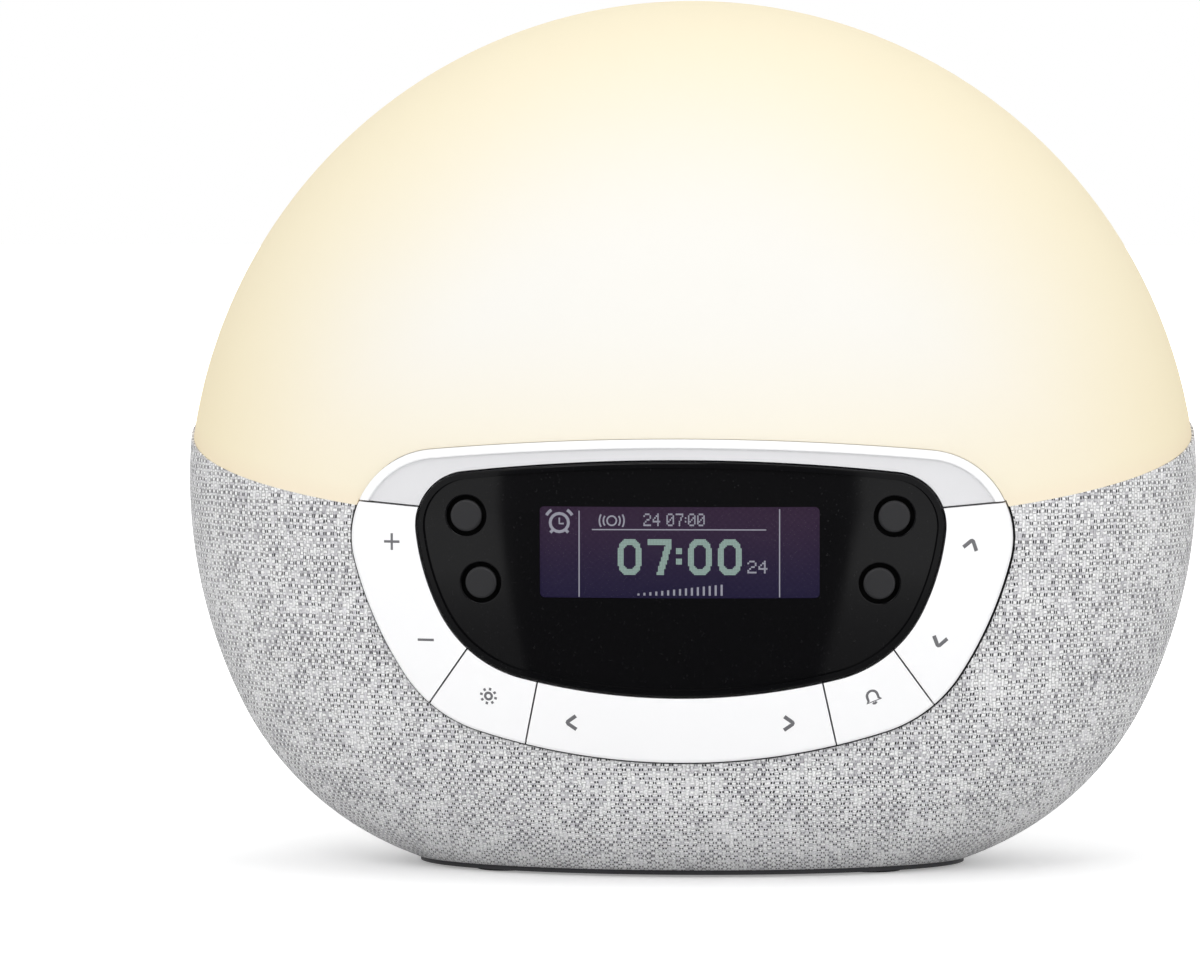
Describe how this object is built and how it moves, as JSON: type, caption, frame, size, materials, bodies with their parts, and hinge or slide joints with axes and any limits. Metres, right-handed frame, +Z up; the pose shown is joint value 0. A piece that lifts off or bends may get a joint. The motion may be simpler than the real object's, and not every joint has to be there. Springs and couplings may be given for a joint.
{
  "type": "sunrise alarm clock",
  "caption": "Dome-shaped wake-up light clock: a lit diffuser dome over a fabric-wrapped base, with a curved black display panel in a ring of rocker and push keys.",
  "frame": {"origin": "middle of the plane that the feet stand on, under the middle of the body", "axes": "+Z up, the face and its keys look along -Y, +X to the viewer's right"},
  "size_m": [0.2108, 0.1211, 0.1803],
  "materials": {
    "fabric": "light grey heather weave",
    "base_plastic": "dark grey moulded plastic, fine texture",
    "diffuser": "milk-white frosted diffuser, lit warm from inside",
    "rubber": "matt rubber",
    "white_plastic": "satin white moulded plastic",
    "panel_gloss": "piano-black gloss with a clear display window",
    "cap_plastic": "matt dark grey plastic",
    "steel": "plain steel",
    "circuit_board": "solder mask on glass-fibre board",
    "black_parts": "moulded component plastic",
    "display_glass": "display glass",
    "speaker_paper": "pressed paper cone",
    "ribbon": "flat flexible cable",
    "chip_yellow": "phosphor-filled chip",
    "aluminium": "plain aluminium"
  },
  "bodies": {
    "housing": {"fabric_cover": "fabric", "base_shell": "base_plastic", "diffuser_dome": "diffuser", "base_plate": "base_plastic", "foot_front_left": "rubber", "foot_back_left": "rubber", "foot_front_right": "rubber", "foot_back_right": "rubber", "face_frame": "white_plastic", "front_panel": "panel_gloss", "left_rocker_pin": "steel", "right_rocker_pin": "steel", "bottom_rocker_pin": "steel", "key_board": "circuit_board", "key_switches": "black_parts", "display_glass": "display_glass", "display_holder": "base_plastic", "rear_cover": "cap_plastic", "speaker_basket": "cap_plastic", "speaker_magnet": "steel", "speaker_cone": "speaker_paper", "power_jack": "black_parts", "power_jack_pin": "steel", "main_board": "circuit_board", "main_board_parts": "black_parts", "ribbon_connectors": "black_parts", "ribbon_cable": "ribbon", "reflector": "white_plastic", "light_board": "circuit_board", "light_chips": "chip_yellow", "heat_sink": "aluminium", "face_screws": "steel", "key_board_screws": "steel", "rear_cover_screws": "steel", "main_board_screws": "steel", "foot_screws": "steel"},
    "left_rocker": {"left_rocker_key": "white_plastic", "left_rocker_plungers": "black_parts"},
    "right_rocker": {"right_rocker_key": "white_plastic", "right_rocker_plungers": "black_parts"},
    "bottom_rocker": {"bottom_rocker_key": "white_plastic", "bottom_rocker_plungers": "black_parts"},
    "left_push": {"left_push_key": "white_plastic", "left_push_plunger": "black_parts"},
    "right_push": {"right_push_key": "white_plastic", "right_push_plunger": "black_parts"},
    "upper_left_cap": {"upper_left_cap": "cap_plastic", "upper_left_cap_plunger": "black_parts"},
    "lower_left_cap": {"lower_left_cap": "cap_plastic", "lower_left_cap_plunger": "black_parts"},
    "upper_right_cap": {"upper_right_cap": "cap_plastic", "upper_right_cap_plunger": "black_parts"},
    "lower_right_cap": {"lower_right_cap": "cap_plastic", "lower_right_cap_plunger": "black_parts"}
  },
  "joints": [
    {"name": "left_rocker_tilt", "type": "hinge", "parent": "housing", "child": "left_rocker", "pos_m": [-0.0555, -0.04794, 0.05995], "axis": [-0.9511, 0, -0.309], "range_deg": [-1.3, 1.3], "stiffness_Nm_per_rad": 0.5},
    {"name": "right_rocker_tilt", "type": "hinge", "parent": "housing", "child": "right_rocker", "pos_m": [0.0555, -0.04794, 0.05995], "axis": [-0.9511, 0, 0.309], "range_deg": [-1.3, 1.3], "stiffness_Nm_per_rad": 0.5},
    {"name": "bottom_rocker_tilt", "type": "hinge", "parent": "housing", "child": "bottom_rocker", "pos_m": [0, -0.05189, 0.0337], "axis": [0, 0, -1], "range_deg": [-1.3, 1.3], "stiffness_Nm_per_rad": 0.5},
    {"name": "left_push_press", "type": "slide", "parent": "housing", "child": "left_push", "axis": [0, 1, 0], "range_m": [0, 0.0008], "stiffness_N_per_m": 400},
    {"name": "right_push_press", "type": "slide", "parent": "housing", "child": "right_push", "axis": [0, 1, 0], "range_m": [0, 0.0008], "stiffness_N_per_m": 400},
    {"name": "upper_left_cap_press", "type": "slide", "parent": "housing", "child": "upper_left_cap", "axis": [0, 1, 0], "range_m": [0, 0.0008], "stiffness_N_per_m": 400},
    {"name": "lower_left_cap_press", "type": "slide", "parent": "housing", "child": "lower_left_cap", "axis": [0, 1, 0], "range_m": [0, 0.0008], "stiffness_N_per_m": 400},
    {"name": "upper_right_cap_press", "type": "slide", "parent": "housing", "child": "upper_right_cap", "axis": [0, 1, 0], "range_m": [0, 0.0008], "stiffness_N_per_m": 400},
    {"name": "lower_right_cap_press", "type": "slide", "parent": "housing", "child": "lower_right_cap", "axis": [0, 1, 0], "range_m": [0, 0.0008], "stiffness_N_per_m": 400}
  ]
}
